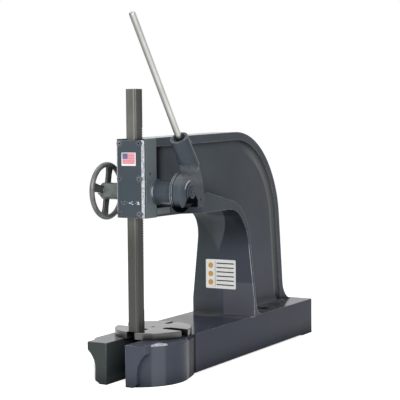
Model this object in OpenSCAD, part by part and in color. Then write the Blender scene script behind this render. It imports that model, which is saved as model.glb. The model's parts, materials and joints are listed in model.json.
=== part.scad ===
// Ratchet arbor press: C-frame casting, square rack ram, ratchet lever, handwheel, slotted table plate.
// Millimetres. X to the right, Y front to back, Z up. Origin on the ram axis at floor level.

/* [Show] */
// Sub-part to draw

/* [Base] */
// Width of the base bar
base_width = 250; // [236:1:270]
// Height of the base top above the floor
base_height = 130; // [120:1:145]
// Length of the base behind the column face
base_tail = 491; // [480:1:560]
// Radius of the round front lobe
lobe_radius = 151; // [146:1:152]
// Rounding of the top edge of the lobe
lobe_edge = 9; // [4:1:12]
// Degrees behind the middle of the lobe where its side runs straight back to the bar
lobe_blend = 15; // [12:1:20]
// Distance from the ram axis to the front face of the prongs
prong_reach = 120; // [110:1:135]
// Half width over the two prongs
prong_half = 105; // [98:1:112]
// Width of the gap between the prongs
front_slot = 70; // [56:1:80]
// Height of the relief under the middle of the base
foot_relief = 4; // [2:0.5:8]

/* [Frame] */
// Throat: ram axis to the column face
throat = 570; // [550:1:580]
// Height of the underside of the head
head_under = 512; // [505:1:516]
// Height of the head block
head_height = 245; // [235:1:255]
// Half width of the head block
head_half = 53; // [51:0.5:55]
// Shift of the head block to the lever side of the ram axis
head_shift = 6; // [4:0.5:8]
// Half width of the top and rear rim
rim_half = 48; // [45:0.5:50]
// Thickness of the inner flange down the column
flange_thick = 14; // [12:1:24]
// Thickness of the inner flange over the arch
arch_flange = 32; // [26:1:36]
// Thickness of the web
web_thick = 60; // [54:1:64]
// Inner radius of the throat arch
arch_radius = 120; // [110:1:125]
// Outer radius of the back of the frame
back_radius = 353.5; // [348:0.5:358]
// Thickness of the top and rear rim
rim_thick = 28; // [22:1:32]
// Radius of the bolt holes through the base
bolt_hole_r = 11; // [8:0.5:13]

/* [Ram] */
// Side of the square ram
ram_side = 38.1; // [38.1:0.1:38.3]
// Space between the ram nose and the plate when down
ram_space = 0.45; // [0.35:0.05:8]
// Length of the ram
ram_length = 761.5; // [740:0.5:800]
// Edge chamfer of the ram
ram_chamfer = 2; // [0.5:0.5:3]
// Gear module of rack and pinion
gear_module = 2.54; // [2.2:0.02:2.8]

/* [Pinion shaft] */
// Teeth on the pinion
pinion_teeth = 14; // [12:1:16]
// Height of the pinion axis above the underside of the head
pinion_up = 80; // [76:1:84]
// Radius of the right journal
right_journal_r = 17; // [15:0.5:17]
// Radius of the left journal
left_journal_r = 15; // [13.5:0.5:15.5]
// Radius of the seat of the ratchet wheel
ratchet_seat_r = 15; // [13.5:0.5:15]
// Radius of the seat of the handwheel
wheel_seat_r = 12.5; // [11:0.5:13]
// Outer end of the right bearing boss
right_boss_end = 140; // [138:0.5:140]
// Radius of the right bearing boss
boss_r = 38; // [34:0.5:40]

/* [Lever] */
// Forward lean of the lever from upright
lever_lean = 35.5; // [30:0.5:40]
// Radius of the lever bar
bar_r = 10; // [8:0.5:11]
// Length of the lever bar
bar_length = 530; // [450:5:600]
// Outer radius of the socket at its mouth
socket_r = 28; // [25:0.5:30]
// Wall of the ratchet drum outside the wheel
drum_wall = 13; // [12:0.5:16]
// Outer radius of the ratchet wheel
ratchet_r = 47; // [45:0.5:47]
// Teeth on the ratchet wheel
ratchet_teeth = 24; // [20:1:30]
// Swing of the pawl from lifted to engaged, degrees
pawl_swing = 14; // [13:0.5:15]

/* [Handwheel] */
// Outer radius of the handwheel
wheel_r = 93; // [80:1:110]
// Radius of the rim bar
wheel_rim_r = 8.5; // [6:0.5:10]
// Distance of the wheel plane from the ram axis
wheel_plane = 129; // [125:1:135]
// Radius of the wheel hub
wheel_hub_r = 27; // [22:0.5:28]
// Width of a spoke
spoke_wide = 26; // [18:1:30]
// Turn of the spokes at rest, degrees
spoke_turn = -11; // [-45:1:45]

/* [Table plate] */
// Radius of the slotted plate
plate_r = 124; // [118:1:128]
// Thickness of the plate
plate_thick = 22; // [16:0.5:22]
// Distance of the plate centre behind the ram axis
plate_back = 98; // [96:1:102]
// Width of the narrow rear slot
slot_rear = 19; // [12:1:24]
// Width of the right slot
slot_right = 37; // [30:1:42]
// Width of the left slot
slot_left = 54; // [44:1:58]
// Width of the slot under the ram
slot_front = 32; // [26:1:34]
// Turn of the plate at rest, degrees
plate_turn = -3.5; // [-10:0.5:10]

/* [Hidden] */
$fn = 96;
eps = 0.01;
fit = 0.05;
seat = 0.02;
gap = 0.3;
mesh_backlash = 0.2;

pin_r = 6;
plate_z = base_height + fit;
plate_top = plate_z + plate_thick;

half_ram = ram_side / 2;
pitch_r = gear_module * pinion_teeth / 2;
pinion_y = half_ram - gear_module + pitch_r;
pinion_z = head_under + pinion_up;
tip_r = pitch_r + gear_module;
root_r = pitch_r - 1.25 * gear_module;
tooth_pitch = PI * gear_module;
pressure = 25;
ram_low = plate_top + ram_space;
ram_top = ram_low + ram_length;
plain_below = 66;
plain_above = 120;
gaps_below = floor((pinion_z - ram_low - plain_below) / tooth_pitch);
gaps_above = floor((ram_top - plain_above - pinion_z) / tooth_pitch);

head_top = head_under + head_height;
head_front = -half_ram - 8.95;
head_back = half_ram + 14.45;
head_left = head_shift - head_half;
head_right = head_shift + head_half;
cap_thick = 12;
cap_face = head_front - cap_thick;
cap_half = head_half - 2;
pad_r = 11;
pad_face = cap_face - 1;
screw_x = cap_half - 15.5;
screw_r = 4;
screw_head_r = 7;
screw_head_h = 6;
screw_zs = [head_top - 12, (head_top + head_under) / 2, head_under + 14];
lock_z = pinion_z + 57.5;
lock_y = half_ram - 23;
lock_r = 4;

left_boss_end = 60;
left_boss_r = 34;
cavity_half = half_ram + 1.45;
right_hole_r = tip_r + 1.68;
left_hole_r = tip_r + 0.18;

arch_y = throat - arch_radius;
arch_z = head_under - arch_radius;
back_y = throat + 21;
back_z = head_top + 20 - back_radius;
back_angle = 6.4;
run_inset = 0.3;
top_angle = 91.7;
foot_r = 80;
flange_wide = 95;
base_rear = throat + base_tail;
bolt_y = throat + 175;
bolt_x = 74;
lobe_y = 28;
lobe_flat = base_width / 2 - 0.5;
flange_r = arch_radius + 20;
flange_y = throat + flange_thick - flange_r;
flange_z = head_under + arch_flange - flange_r;
flange_foot = 48;

cheek_in = right_boss_end + 2;
drum_in = cheek_in + 8.3;
wheel_in = drum_in + 0.7;
wheel_out = wheel_in + 22.5;
cavity_out = wheel_out + 1;
drum_out = cavity_out + 8.5;
drum_r = ratchet_r + drum_wall;
cavity_r = ratchet_r + 1.5;
drum_round = 8;
hub_boss_r = 30;
hub_boss_out = drum_out + 3;
window_from = 229;
window_to = 314;
window_r = 34;
lever_x = (drum_in + drum_out) / 2 - 1.65;
mouth = [pinion_y - 39.29, pinion_z + 170];
socket_len = 112;
bar_depth = 90;
pawl_dist = ratchet_r + 21.08;
pawl_bearing = -20.64;
pawl_at = [pinion_y + pawl_dist * cos(pawl_bearing), pinion_z + pawl_dist * sin(pawl_bearing)];
pawl_r = 8.5;
pawl_pin_r = 4;
pawl_in = wheel_in + 1;
pawl_out = wheel_out - 1;
ratchet_root = ratchet_r - 5.5;
tooth_step = 360 / ratchet_teeth;
tooth_phase = 9;
tooth_lean = 2;
contact_r = ratchet_root + 1.2;
tip_bearing = tooth_phase + tooth_lean * (contact_r - ratchet_root) / (ratchet_r - ratchet_root) - 0.9;
tip_at = [pinion_y + contact_r * cos(tip_bearing), pinion_z + contact_r * sin(tip_bearing)];
pawl_len = norm(tip_at - pawl_at);
pawl_angle = atan2(tip_at[1] - pawl_at[1], tip_at[0] - pawl_at[0]) - 90 - pawl_swing;
plunger_z = pawl_at[1] + 31;
plunger_r = 4;
plunger_tip = pawl_at[0] + 1;
cheek_screw_angles = [95, 157, 219];
cheek_screw_at = ratchet_r + 7.5;
key_w = 8;
key_h = 7;
wheel_key_w = 6;
wheel_key_h = 6;

hub_near = -(left_boss_end + 2);
hub_far = -(wheel_plane + 12);
nut_r = wheel_seat_r - 2.5;
spoke_end = wheel_r - wheel_rim_r - 0.5;

// extrude a Y-Z outline from x = a to x = b
module along_x(a, b) {
    translate([a, 0, 0])
        rotate([90, 0, 90])
            linear_extrude(b - a)
                children();
}

// extrude an X-Z outline from y = a to y = b
module along_y(a, b) {
    translate([0, b, 0])
        rotate([90, 0, 0])
            linear_extrude(b - a)
                children();
}

// extrude an X-Y outline from z = a to z = b
module along_z(a, b) {
    translate([0, 0, a])
        linear_extrude(b - a)
            children();
}

module rod_x(a, b, r) {
    translate([a, 0, 0])
        rotate([0, 90, 0])
            cylinder(h = b - a, r = r);
}

module rod_y(a, b, r) {
    translate([0, a, 0])
        rotate([-90, 0, 0])
            cylinder(h = b - a, r = r);
}

module at_pinion() {
    translate([0, pinion_y, pinion_z])
        children();
}

module both_sides() {
    children();
    mirror([1, 0, 0])
        children();
}

// Y-Z outline of the whole back of the frame, shrunk inwards by t
module back_outline(t) {
    r = back_radius - t;
    top = [back_y + r * cos(top_angle), back_z + r * sin(top_angle)];
    side_r = r - run_inset;
    side = [back_y + side_r * cos(back_angle), back_z + side_r * sin(back_angle)];
    run = side[1] - base_height + 40;
    front_drop = tan(top_angle - 90) * (top[0] - head_front);
    translate([back_y, back_z])
        circle(r);
    polygon([
        [head_front, base_height - 40],
        [side[0] + run * tan(back_angle), base_height - 40],
        side,
        top,
        [head_front, top[1] - front_drop]
    ]);
}

// Y-Z outline of the throat opening
module throat_outline() {
    translate([arch_y, arch_z])
        circle(arch_radius);
    translate([head_front - 50, 0])
        square([throat - head_front + 50, arch_z]);
    translate([head_front - 50, 0])
        square([arch_y - head_front + 50, head_under]);
}

module above_base() {
    translate([-200, base_height - 30])
        square([back_y + 900, head_top + 200]);
}

module web() {
    along_x(-web_thick / 2, web_thick / 2)
        intersection() {
            difference() {
                back_outline(0);
                throat_outline();
            }
            above_base();
        }
}

module outer_rim() {
    intersection() {
        along_x(-rim_half, rim_half)
            intersection() {
                difference() {
                    back_outline(0);
                    back_outline(rim_thick);
                    translate([-100, 0])
                        square([throat + 230, head_top - 80]);
                }
                above_base();
            }
        along_z(0, head_top + 100)
            polygon([
                [-rim_half, head_front],
                [rim_half, head_front],
                [rim_half, throat - 90],
                [40, throat + 310],
                [40, throat + 630],
                [-40, throat + 630],
                [-40, throat + 310],
                [-rim_half, throat - 90]
            ]);
    }
}

// Y-Z outline of the inner flange: column, arch, raised nose and the thin flange under the head
module flange_outline() {
    nose = [arch_y - 154, head_under + 28];
    nose_r = 38;
    reach = [nose[0] - flange_y, nose[1] + nose_r - flange_z];
    lip = atan2(reach[1], reach[0]) - acos(flange_r / norm(reach));
    difference() {
        union() {
            intersection() {
                translate([flange_y, flange_z])
                    circle(flange_r);
                translate([arch_y, 0])
                    square([flange_r, 1000]);
            }
            translate([arch_y, 0])
                square([throat + flange_thick - arch_y, flange_z]);
            translate([head_front, head_under - 1])
                square([nose[0] - head_front, 29]);
            translate(nose)
                circle(nose_r);
            polygon([
                [nose[0], head_under - 1],
                [flange_y + flange_r * cos(lip), head_under - 1],
                [flange_y + flange_r * cos(lip), flange_z + flange_r * sin(lip)],
                [nose[0], nose[1] + nose_r]
            ]);
            difference() {
                translate([throat + flange_thick - 1, base_height - 20])
                    square([flange_foot + 1, flange_foot + 20]);
                translate([throat + flange_thick + flange_foot, base_height + flange_foot])
                    circle(flange_foot);
            }
        }
        throat_outline();
    }
}

module inner_flange() {
    wide = base_width / 2;
    intersection() {
        along_x(-wide, wide)
            intersection() {
                flange_outline();
                above_base();
            }
        along_y(head_front, throat + 100)
            polygon([
                [-wide, 0],
                [wide, 0],
                [wide, base_height + 50],
                [flange_wide, arch_z + 78],
                [flange_wide, head_top],
                [-flange_wide, head_top],
                [-flange_wide, arch_z + 78],
                [-wide, base_height + 50]
            ]);
        along_z(0, head_top)
            polygon([
                [-rim_half, head_front],
                [rim_half, head_front],
                [rim_half, arch_y - 250],
                [flange_wide, arch_y - 188],
                [wide, arch_y - 30],
                [wide, throat + 300],
                [-wide, throat + 300],
                [-wide, arch_y - 30],
                [-flange_wide, arch_y - 188],
                [-rim_half, arch_y - 250]
            ]);
    }
}

// concave fillets where web and rear rim meet the base
module foot_fillets() {
    both_sides()
        along_y(throat + flange_thick - 2, throat + 404)
            difference() {
                translate([web_thick / 2 - 1, base_height - 1])
                    square([26, 26]);
                translate([web_thick / 2 + 25, base_height + 25])
                    circle(25);
            }
    nx = cos(back_angle);
    nz = sin(back_angle);
    px = back_y + (back_radius - run_inset) * nx;
    pz = back_z + (back_radius - run_inset) * nz;
    cy = px + (foot_r - (base_height + foot_r - pz) * nz) / nx;
    along_x(-40, 40)
        difference() {
            polygon([
                [cy - 110, base_height - 5],
                [cy, base_height - 5],
                [cy, base_height],
                [cy - foot_r * nx, base_height + foot_r * (1 - nz)],
                [cy - foot_r * nx - 20, base_height + foot_r]
            ]);
            translate([cy, base_height + foot_r])
                circle(foot_r);
        }
}

module prong_outline() {
    difference() {
        polygon([
            [front_slot / 2 - 1, 0],
            [prong_half - 44, 0],
            [prong_half - 29, 12],
            [prong_half - 29, 42],
            [prong_half, 42],
            [prong_half, base_height],
            [front_slot / 2 - 1, base_height]
        ]);
        translate([prong_half + 51, 42])
            circle(81);
    }
}

module base() {
    half = base_width / 2;
    corner = 12;
    run = (lobe_radius * cos(lobe_blend) - half) / sin(lobe_blend);
    side = lobe_radius - 0.5;
    // the lobe is cut flat on the left, almost flush with the bar
    intersection() {
        translate([0, lobe_y, 0])
            rotate_extrude($fn = 180) {
                square([lobe_radius - lobe_edge, base_height]);
                square([lobe_radius, base_height - lobe_edge]);
                translate([lobe_radius - lobe_edge, base_height - lobe_edge])
                    circle(lobe_edge);
            }
        translate([-lobe_flat, lobe_y - 2 * lobe_radius, -1])
            cube([3 * lobe_radius, 4 * lobe_radius, base_height + 2]);
    }
    translate([0, lobe_y, 0])
        rotate([0, 0, lobe_blend])
            along_y(0, run)
                polygon([
                    [70, 0],
                    [side, 0],
                    [side, base_height - lobe_edge - 1],
                    [side - lobe_edge + 1, base_height],
                    [70, base_height]
                ]);
    along_z(0, base_height) {
        translate([-half, lobe_y + 60])
            square([base_width, base_rear - corner - lobe_y - 60]);
        translate([-half + corner, lobe_y + 60])
            square([base_width - 2 * corner, base_rear - lobe_y - 60]);
        translate([half - corner, base_rear - corner])
            circle(corner);
        translate([corner - half, base_rear - corner])
            circle(corner);
    }
    both_sides()
        along_y(-prong_reach, lobe_y)
            prong_outline();
}

module base_cuts() {
    slot_end = 75;
    half_slot = front_slot / 2;
    along_z(-1, base_height + 1) {
        translate([-half_slot, -prong_reach - 60])
            square([front_slot, slot_end - half_slot + prong_reach + 60]);
        translate([0, slot_end - half_slot])
            circle(half_slot);
    }
    translate([-base_width, 141, -1])
        cube([2 * base_width, base_rear - 96 - 141, foot_relief + 1]);
    translate([-base_width / 2 + 24, 160, -1])
        cube([base_width - 48, throat - 50 - 160, base_height - 27]);
    translate([-base_width / 2 + 24, throat - 25, -1])
        cube([base_width - 48, base_rear - throat - 5, base_height - 27]);
    both_sides()
        translate([bolt_x, bolt_y, 0])
            cylinder(h = base_height + 1, r = bolt_hole_r);
    translate([0, plate_back, base_height - 45])
        cylinder(h = 50, r = pin_r + seat);
}

module head_block() {
    along_x(head_left, head_right)
        intersection() {
            back_outline(0);
            translate([head_front, head_under])
                square([head_back - head_front, head_top + 40 - head_under]);
        }
}

module bosses() {
    at_pinion() {
        rod_x(0, right_boss_end, boss_r);
        rod_x(head_right - 1, head_right + 5, boss_r + 3);
        translate([head_right + 5, 0, 0])
            rotate([0, 90, 0])
                rotate_extrude() {
                    square([boss_r - 2, 5]);
                    intersection() {
                        square([boss_r + 3, 5]);
                        translate([boss_r - 2, 0])
                            circle(5);
                    }
                }
        rod_x(-left_boss_end, 0, left_boss_r);
    }
}

module head_cuts() {
    wide = half_ram + fit;
    translate([-wide, head_front - 1, head_under - 50])
        cube([2 * wide, wide - head_front + 1, 400]);
    at_pinion() {
        rod_x(-cavity_half, right_boss_end + 1, right_hole_r);
        rod_x(-left_boss_end - 1, cavity_half, left_hole_r);
    }
    for (z = screw_zs)
        for (x = [head_shift - screw_x, head_shift + screw_x])
            translate([x, 0, z])
                rod_y(head_front - 1, head_front + 24, screw_r + seat);
    translate([0, lock_y, lock_z])
        rod_x(0, head_right + 1, lock_r + seat);
}

module frame_casting() {
    color("#4a4f57")
        difference() {
            union() {
                base();
                web();
                outer_rim();
                inner_flange();
                foot_fillets();
                head_block();
                bosses();
            }
            base_cuts();
            head_cuts();
        }
}

// screw positions on the front cap
module at_cap_screws() {
    for (z = screw_zs)
        for (x = [head_shift - screw_x, head_shift + screw_x])
            translate([x, 0, z])
                children();
}

module ram_cap() {
    bevel = 7;
    low = head_under + 1;
    high = head_top - 2;
    round_r = 6;
    color("#4a4f57")
        difference() {
            union() {
                translate([head_shift, 0, 0])
                    intersection() {
                        along_z(low, high)
                            polygon([
                                [-cap_half, head_front],
                                [-cap_half, cap_face + bevel],
                                [bevel - cap_half, cap_face],
                                [cap_half - bevel, cap_face],
                                [cap_half, cap_face + bevel],
                                [cap_half, head_front]
                            ]);
                        along_y(cap_face - 1, head_front) {
                            translate([-cap_half, low])
                                square([2 * cap_half, high - low - round_r]);
                            translate([round_r - cap_half, low])
                                square([2 * (cap_half - round_r), high - low]);
                            translate([cap_half - round_r, high - round_r])
                                circle(round_r);
                            translate([round_r - cap_half, high - round_r])
                                circle(round_r);
                        }
                    }
                intersection() {
                    at_cap_screws()
                        rod_y(pad_face, head_front, pad_r);
                    along_y(pad_face - 1, head_front)
                        translate([head_shift - cap_half, low])
                            square([2 * cap_half, high - low]);
                }
            }
            at_cap_screws() {
                rod_y(pad_face - 1, head_front + 1, screw_r + fit);
                rod_y(pad_face - 1, pad_face + 5, screw_head_r + gap);
            }
        }
}

module cap_screws() {
    color("#4a4f57")
        at_cap_screws()
            difference() {
                union() {
                    rod_y(pad_face + 5 - screw_head_h, pad_face + 5, screw_head_r);
                    rod_y(pad_face + 4, head_front + 22, screw_r);
                }
                translate([0, pad_face + 2, 0])
                    rotate([90, 0, 0])
                        cylinder(h = 10, r = 3.6, $fn = 6);
            }
}

module gib() {
    color("#9a9482")
        translate([-half_ram, head_front, head_under + 4])
            cube([ram_side, -half_ram - fit - head_front, head_top - head_under - 10]);
}

// Y-Z outline of the ram with the rack cut into its back face
module rack_outline() {
    flank = tan(pressure);
    half_gap = tooth_pitch / 4 + mesh_backlash / 2;
    root_y = half_ram - 2.25 * gear_module;
    wide = half_gap + gear_module * flank;
    narrow = half_gap - 1.25 * gear_module * flank;
    polygon(concat(
        [[half_ram, ram_top], [-half_ram, ram_top], [-half_ram, ram_low], [half_ram, ram_low]],
        [for (i = [-gaps_below:gaps_above], p = [[half_ram, -wide], [root_y, -narrow], [root_y, narrow],
            [half_ram, wide]]) [p[0], pinion_z + i * tooth_pitch + p[1]]]
    ));
}

module ram() {
    c = ram_chamfer;
    h = half_ram;
    color("#7d7c76")
        intersection() {
            along_x(-h, h)
                rack_outline();
            along_z(ram_low, ram_top)
                polygon([[c - h, -h], [h - c, -h], [h, c - h], [h, h - c], [h - c, h], [c - h, h],
                    [-h, h - c], [-h, c - h]]);
        }
}

module ram_lock_screw() {
    color("#6b6c6c")
        translate([0, lock_y, lock_z])
            difference() {
                rod_x(half_ram + fit + gap, head_right - 3, lock_r);
                translate([head_right - 7, 0, 0])
                    rotate([0, 90, 0])
                        cylinder(h = 10, r = 2.3, $fn = 6);
            }
}

module left_bush() {
    color("#a98b4a")
        at_pinion()
            difference() {
                rod_x(-left_boss_end, -cavity_half - 1.5, left_hole_r - seat);
                rod_x(-left_boss_end - 1, 0, left_journal_r + fit);
            }
}

module right_bush() {
    color("#a98b4a")
        at_pinion()
            difference() {
                rod_x(cavity_half + 1.5, right_boss_end, right_hole_r - seat);
                rod_x(0, right_boss_end + 1, right_journal_r + fit);
            }
}

function involute(rb, t) = [rb * (cos(t) + t * PI / 180 * sin(t)), rb * (sin(t) - t * PI / 180 * cos(t))];
function turned(p, a) = [p[0] * cos(a) - p[1] * sin(a), p[0] * sin(a) + p[1] * cos(a)];
function flipped(p) = [p[0], -p[1]];

// one pinion tooth pointing along +X, flanks in short straight steps
module pinion_tooth() {
    rb = pitch_r * cos(pressure);
    t_tip = sqrt(pow(tip_r / rb, 2) - 1) * 180 / PI;
    t_pitch = tan(pressure) * 180 / PI;
    half_thick = 90 / pinion_teeth;
    shift = half_thick + t_pitch - pressure;
    upper = [for (i = [0:8]) turned(flipped(involute(rb, t_tip * i / 8)), shift)];
    polygon(concat(
        [[root_r - 2, -3.2 * rb / 16]],
        [for (p = upper) flipped(p)],
        [for (i = [8:-1:0]) upper[i]],
        [[root_r - 2, 3.2 * rb / 16]]
    ));
}

module pinion_shaft() {
    color("#6f7274")
        at_pinion()
            difference() {
                union() {
                    rod_x(-cavity_half + 1, cavity_half - 1, root_r);
                    along_x(-half_ram, half_ram)
                        for (i = [0:pinion_teeth - 1])
                            rotate(180 + i * 360 / pinion_teeth)
                                pinion_tooth();
                    rod_x(cavity_half - 1, right_boss_end + 1.7, right_journal_r);
                    rod_x(-left_boss_end - 1.7, 1 - cavity_half, left_journal_r);
                    rod_x(right_boss_end, hub_boss_out, ratchet_seat_r);
                    rod_x(hub_far - 1, -left_boss_end, wheel_seat_r);
                    rod_x(hub_far - 19, hub_far, nut_r);
                }
                translate([wheel_in, -key_w / 2 - seat, ratchet_seat_r - key_h / 2])
                    cube([wheel_out - wheel_in, key_w + 2 * seat, key_h]);
                translate([hub_far + 6, -wheel_key_w / 2 - seat, wheel_seat_r - wheel_key_h / 2])
                    cube([40, wheel_key_w + 2 * seat, wheel_key_h]);
                rod_x(hub_boss_out - 26, hub_boss_out + 1, 6 + seat);
            }
}

module thrust_washer() {
    color("#a98b4a")
        at_pinion()
            difference() {
                rod_x(right_boss_end + fit, cheek_in - gap, 26);
                rod_x(right_boss_end - 1, cheek_in + 1, right_journal_r + fit);
            }
}

module ratchet_wheel() {
    color("#77797b")
        at_pinion()
            difference() {
                along_x(wheel_in, wheel_out)
                    polygon([for (i = [0:ratchet_teeth - 1], p = [[ratchet_root, 0], [ratchet_r, tooth_lean],
                        [ratchet_r - 0.8, tooth_lean + 1.6]])
                        turned([p[0], 0], tooth_phase + i * tooth_step + p[1])]);
                rod_x(wheel_in - 1, wheel_out + 1, ratchet_seat_r + seat);
                translate([wheel_in - 1, -key_w / 2 - seat, 0])
                    cube([wheel_out - wheel_in + 2, key_w + 2 * seat, ratchet_seat_r + key_h / 2 + seat]);
            }
}

module ratchet_key() {
    color("#6f7274")
        at_pinion()
            translate([wheel_in + 0.5, -key_w / 2, ratchet_seat_r - key_h / 2])
                cube([wheel_out - wheel_in - 1, key_w, key_h]);
}

// Y-Z outline of the pawl lobe and the bridge that joins it to the drum
module lobe_outline(r, lobe) {
    translate(pawl_at)
        circle(lobe);
    polygon([
        [pinion_y, pinion_z - 45],
        [pawl_at[0] - 9, pawl_at[1] - lobe + 1],
        [pawl_at[0] + lobe - 1, pawl_at[1] + 3],
        [pawl_at[0] + 16, pinion_z + 28],
        [pinion_y + 30, pinion_z + r * 0.72]
    ]);
}

// Y-Z outline of the ratchet drum with the pawl lobe behind it
module drum_outline(r, lobe) {
    translate([pinion_y, pinion_z])
        circle(r);
    lobe_outline(r, lobe);
}

// turn a shape built along +Z at the socket mouth onto the leaning lever axis
module on_lever_axis() {
    translate([lever_x, mouth[0], mouth[1]])
        rotate([lever_lean, 0, 0])
            children();
}

module pawl_cavity() {
    along_x(drum_in - 1, cavity_out) {
        translate([pinion_y, pinion_z])
            circle(cavity_r);
        translate(pawl_at)
            circle(pawl_r + 2);
        translate(pawl_at)
            rotate(pawl_angle)
                translate([-pawl_r - 3, -3])
                    square([2 * pawl_r + 6, pawl_len + 6]);
    }
}

// open sector at the foot of the drum that shows the ratchet teeth
module drum_window() {
    a = window_from;
    b = window_to;
    far = drum_r + 30;
    at_pinion()
        along_x(drum_in - 1, drum_out + 1)
            polygon([
                [window_r * cos(a), window_r * sin(a)],
                [far * cos(a), far * sin(a)],
                [far * cos(a + 25), far * sin(a + 25)],
                [far * cos(b - 25), far * sin(b - 25)],
                [far * cos(b), far * sin(b)],
                [window_r * cos(b), window_r * sin(b)],
                [window_r * cos(b - 28), window_r * sin(b - 28)],
                [window_r * cos(a + 28), window_r * sin(a + 28)]
            ]);
}

module lever_head() {
    color("#4a4f57")
        difference() {
            union() {
                along_x(drum_in, drum_out - drum_round)
                    drum_outline(drum_r, 25);
                at_pinion()
                    translate([drum_out - drum_round - eps, 0, 0])
                        rotate([0, 90, 0])
                            cylinder(h = drum_round + eps, r1 = drum_r, r2 = drum_r - drum_round);
                along_x(drum_in, drum_out - 3) {
                    lobe_outline(drum_r - 6, 25);
                    polygon([
                        [pinion_y + 20, pinion_z + 20],
                        [pawl_at[0] + 18, pinion_z + 24],
                        [mouth[0] + 90, mouth[1] - 74],
                        [mouth[0] + 24, mouth[1] - 84],
                        [pinion_y - 4, pinion_z + drum_r - 4]
                    ]);
                }
                on_lever_axis()
                    rotate_extrude()
                        polygon([
                            [0, -socket_len - 22],
                            [socket_r - 12, -socket_len - 22],
                            [socket_r - 3, -socket_len - 14],
                            [socket_r + 3, -socket_len],
                            [socket_r, 0],
                            [0, 0]
                        ]);
                at_pinion()
                    rod_x(drum_out - 1, hub_boss_out, hub_boss_r);
            }
            pawl_cavity();
            drum_window();
            at_pinion() {
                rod_x(drum_in - 20, hub_boss_out + 1, ratchet_seat_r + fit);
                rod_x(drum_in - 20, drum_in, drum_r + 12);
                for (a = cheek_screw_angles)
                    rotate([a, 0, 0])
                        translate([0, cheek_screw_at, 0])
                            rod_x(drum_in - 1, drum_in + 16, 3 + seat);
            }
            on_lever_axis() {
                translate([0, 0, -bar_depth])
                    cylinder(h = bar_depth + 1, r = bar_r + fit);
                translate([0, 0, -9])
                    cylinder(h = 9 + eps, r1 = bar_r + fit, r2 = bar_r + 10);
                translate([0, 0, -45])
                    rod_y(0, socket_r + 5, 5 + seat);
            }
            translate([0, pawl_at[0], pawl_at[1]])
                rod_x(drum_in - 1, drum_out - 3, pawl_pin_r + seat);
            translate([(pawl_in + pawl_out) / 2, 0, plunger_z])
                rod_y(pinion_y + cavity_r - 8, pawl_at[0] + 40, plunger_r + seat);
        }
}

module cheek_plate() {
    color("#4a4f57")
        difference() {
            along_x(cheek_in, drum_in - fit)
                drum_outline(drum_r + 3, 25);
            at_pinion() {
                rod_x(cheek_in - 1, drum_in + 1, ratchet_seat_r + 2 + fit);
                for (a = cheek_screw_angles)
                    rotate([a, 0, 0])
                        translate([0, cheek_screw_at, 0])
                            rod_x(cheek_in - 1, drum_in + 1, 3 + fit);
            }
            translate([0, pawl_at[0], pawl_at[1]])
                rod_x(drum_in - 4, drum_in + 1, pawl_pin_r + seat);
        }
}

module cheek_screws() {
    color("#8c8f90")
        at_pinion()
            for (a = cheek_screw_angles)
                rotate([a, 0, 0])
                    translate([0, cheek_screw_at, 0])
                        difference() {
                            union() {
                                rod_x(cheek_in - 3.5, cheek_in, 5.5);
                                rod_x(cheek_in - 1, drum_in + 14, 3);
                            }
                            translate([cheek_in - 5, 0, 0])
                                rotate([0, 90, 0])
                                    cylinder(h = 3.5, r = 2.8, $fn = 6);
                        }
}

module lever_bar() {
    color("#b9bab8")
        on_lever_axis() {
            translate([0, 0, 1 - bar_depth])
                cylinder(h = bar_length - 5, r = bar_r);
            translate([0, 0, bar_length - bar_depth - 4])
                rotate_extrude()
                    intersection() {
                        square([bar_r, 6]);
                        union() {
                            square([bar_r - 5, 5]);
                            translate([bar_r - 5, 0])
                                circle(5);
                        }
                    }
        }
}

module bar_set_screw() {
    color("#6b6c6c")
        on_lever_axis()
            translate([0, 0, -45])
                difference() {
                    union() {
                        rod_y(bar_r + fit, socket_r + 6, 5);
                        translate([0, socket_r + 6, 0])
                            rotate([-90, 0, 0])
                                cylinder(h = 9, r = 8);
                    }
                    translate([0, socket_r + 11, 0])
                        rotate([-90, 0, 0])
                            cylinder(h = 6, r = 4.2, $fn = 6);
                }
}

module pawl() {
    l = pawl_len;
    color("#77797b")
        translate([0, pawl_at[0], pawl_at[1]])
            along_x(pawl_in, pawl_out)
                rotate(pawl_angle)
                    difference() {
                        union() {
                            circle(pawl_r);
                            polygon([[-7, -2], [7.4, -2], [7.6, l * 0.55], [5.2, l - 2.95], [0, l],
                                [-1.6, l - 12], [-6.8, l * 0.35]]);
                        }
                        circle(pawl_pin_r + fit);
                    }
}

module pawl_pin() {
    color("#8c8f90")
        translate([0, pawl_at[0], pawl_at[1]])
            rod_x(drum_in - 3.5, drum_out - 3.5, pawl_pin_r);
}

module pawl_plunger() {
    x = (pawl_in + pawl_out) / 2;
    color("#8c8f90")
        translate([x, 0, plunger_z]) {
            rod_y(plunger_tip, pawl_at[0] + 34, plunger_r);
            rod_y(pawl_at[0] + 28, pawl_at[0] + 36, 8);
        }
}

module end_washer() {
    color("#4a4f57")
        at_pinion()
            difference() {
                union() {
                    rod_x(hub_boss_out + gap, hub_boss_out + 2, 19);
                    translate([hub_boss_out + 2 - eps, 0, 0])
                        rotate([0, 90, 0])
                            cylinder(h = 2 + eps, r1 = 19, r2 = 16.5);
                }
                rod_x(hub_boss_out - 1, hub_boss_out + 5, 6 + fit);
            }
}

module end_bolt() {
    color("#4a4f57")
        at_pinion()
            difference() {
                union() {
                    rod_x(hub_boss_out - 24, hub_boss_out + 5, 6);
                    rod_x(hub_boss_out + 4, hub_boss_out + 6, 11);
                    translate([hub_boss_out + 6 - eps, 0, 0])
                        rotate([0, 90, 0])
                            cylinder(h = 2.5 + eps, r1 = 11, r2 = 8);
                }
                translate([hub_boss_out + 5.5, 0, 0])
                    rotate([0, 90, 0])
                        cylinder(h = 4, r = 4, $fn = 6);
            }
}

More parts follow.
